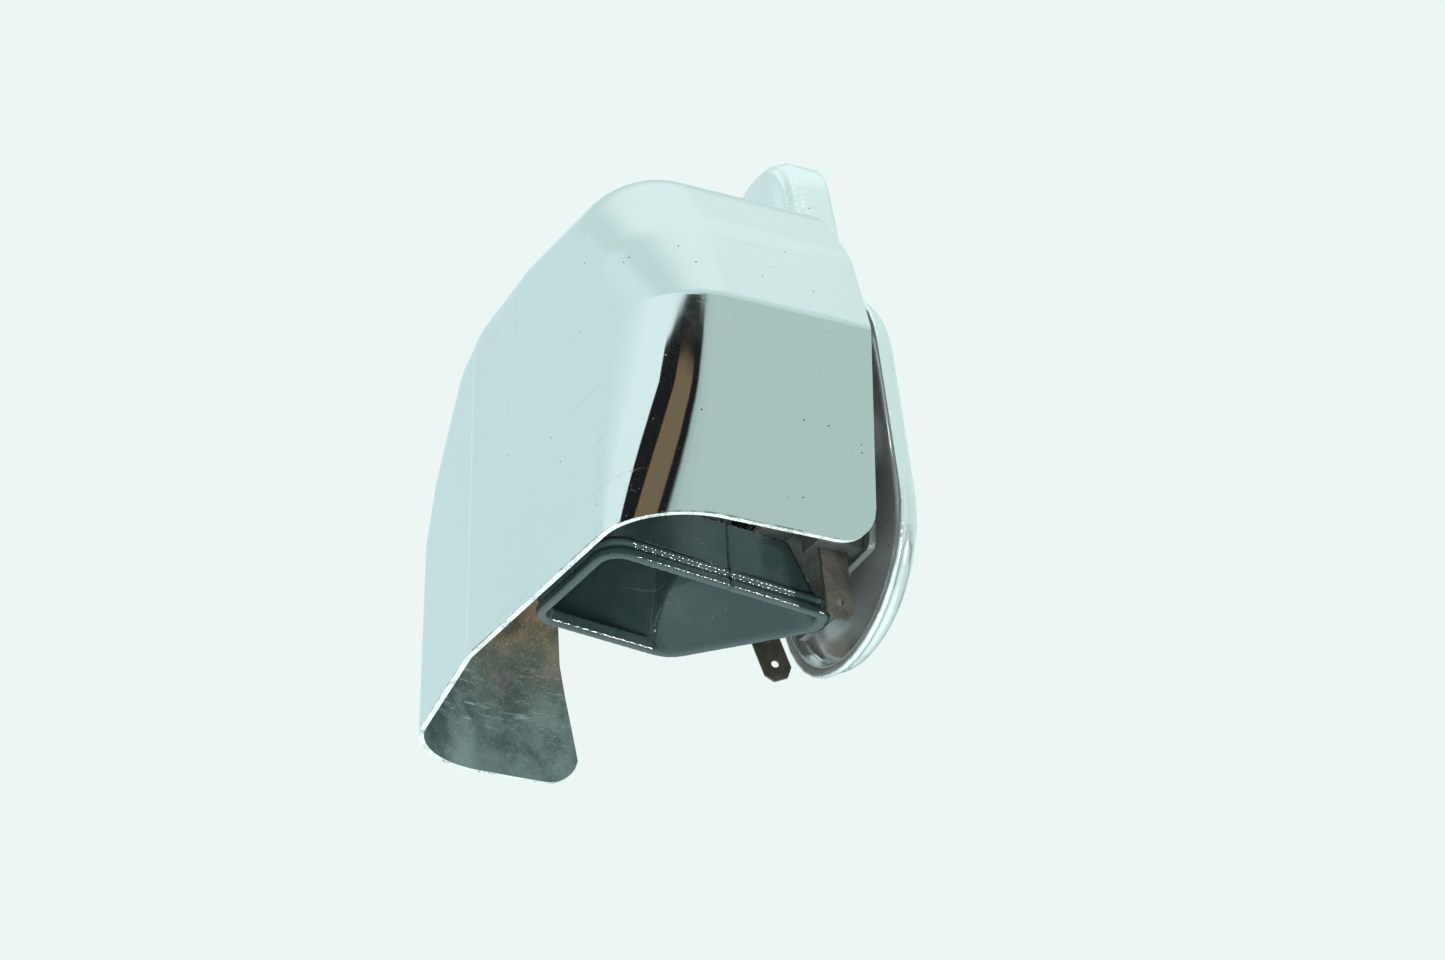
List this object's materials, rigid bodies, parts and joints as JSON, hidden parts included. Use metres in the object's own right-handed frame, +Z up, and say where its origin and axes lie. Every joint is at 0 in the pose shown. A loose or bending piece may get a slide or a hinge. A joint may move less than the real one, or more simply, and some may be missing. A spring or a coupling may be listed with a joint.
{
  "type": "electric trumpet horn with chromed hood",
  "caption": "Compact electric trumpet horn under a pressed chromed cowbell-style hood, black plastic trumpet, two bare blade terminals, on a pressed chromed bracket.",
  "frame": {"origin": "centre of the bracket's rubber-bushed mounting hole, at the back end of its steel sleeve", "axes": "+Z is up as mounted, with the hood's open mouth facing down; -Y points out of the hood's front, and the stud is parallel to Y; +X is towards the end of the hood that has no crease"},
  "size_m": [0.1444, 0.0841, 0.1301],
  "materials": {
    "chrome": "mirror, with fine scratches; dull and tarnished inside",
    "zinc_steel": "dull zinc plate",
    "bare_steel": "tarnished",
    "spring_steel": "bright",
    "black_plastic": "glossy, lightly scuffed",
    "phenolic": "matt brown",
    "copper": "lacquered",
    "rubber": "matt"
  },
  "bodies": {
    "bracket": {"mounting_bracket": "chrome", "grommet": "rubber", "grommet_sleeve": "zinc_steel", "lock_washer": "zinc_steel"},
    "horn": {"adjusting_nut": "zinc_steel", "coil_bobbin": "phenolic", "coil_winding": "copper", "contact_post": "phenolic", "fixed_contact": "spring_steel", "gasket": "phenolic", "hood": "chrome", "hood_hanger": "zinc_steel", "horn_pan": "zinc_steel", "pole_core": "bare_steel", "rim_bolt_1": "zinc_steel", "rim_bolt_2": "zinc_steel", "rim_bolt_3": "zinc_steel", "rim_bolt_4": "zinc_steel", "rim_bolt_5": "zinc_steel", "rim_bolt_6": "zinc_steel", "rim_nut_1": "zinc_steel", "rim_nut_2": "zinc_steel", "rim_nut_3": "zinc_steel", "rim_nut_4": "zinc_steel", "rim_nut_5": "zinc_steel", "rim_nut_6": "zinc_steel", "spacer": "zinc_steel", "stud": "zinc_steel", "stud_nut": "zinc_steel", "terminal_a": "bare_steel", "terminal_a_block": "phenolic", "terminal_a_rivet": "bare_steel", "terminal_b": "bare_steel", "terminal_b_block": "phenolic", "terminal_b_rivet": "bare_steel", "terminal_plate": "zinc_steel", "trumpet_front_shell": "black_plastic", "trumpet_rear_shell": "black_plastic"},
    "membrane": {"armature": "bare_steel", "armature_nut": "zinc_steel", "diaphragm": "spring_steel"},
    "breaker": {"contact_arm": "copper", "moving_contact": "spring_steel"},
    "adjuster": {"adjusting_screw": "spring_steel"}
  },
  "joints": [
    {"name": "horn_swivel", "type": "hinge", "parent": "bracket", "child": "horn", "pos_m": [0.009, -0.0023, -0.04399], "axis": [0, 1, 0], "range_deg": [-20, 20]},
    {"name": "diaphragm_travel", "type": "slide", "parent": "horn", "child": "membrane", "axis": [0, 1, 0], "range_m": [-0.0002, 0.0004], "stiffness_N_per_m": 8000},
    {"name": "contact_hinge", "type": "hinge", "parent": "horn", "child": "breaker", "pos_m": [-0.0085, -0.0178, -0.04199], "axis": [1, 0, 0], "range_deg": [-5.8, 2.9]},
    {"name": "adjuster_turn", "type": "hinge", "parent": "horn", "child": "adjuster", "pos_m": [-0.0085, -0.0093, -0.03798], "axis": [0, 1, 0], "range_deg": [-180, 180]}
  ],
  "couplings": [
    {"joint": "contact_hinge", "follows": "diaphragm_travel", "rad_per_m": -250}
  ]
}
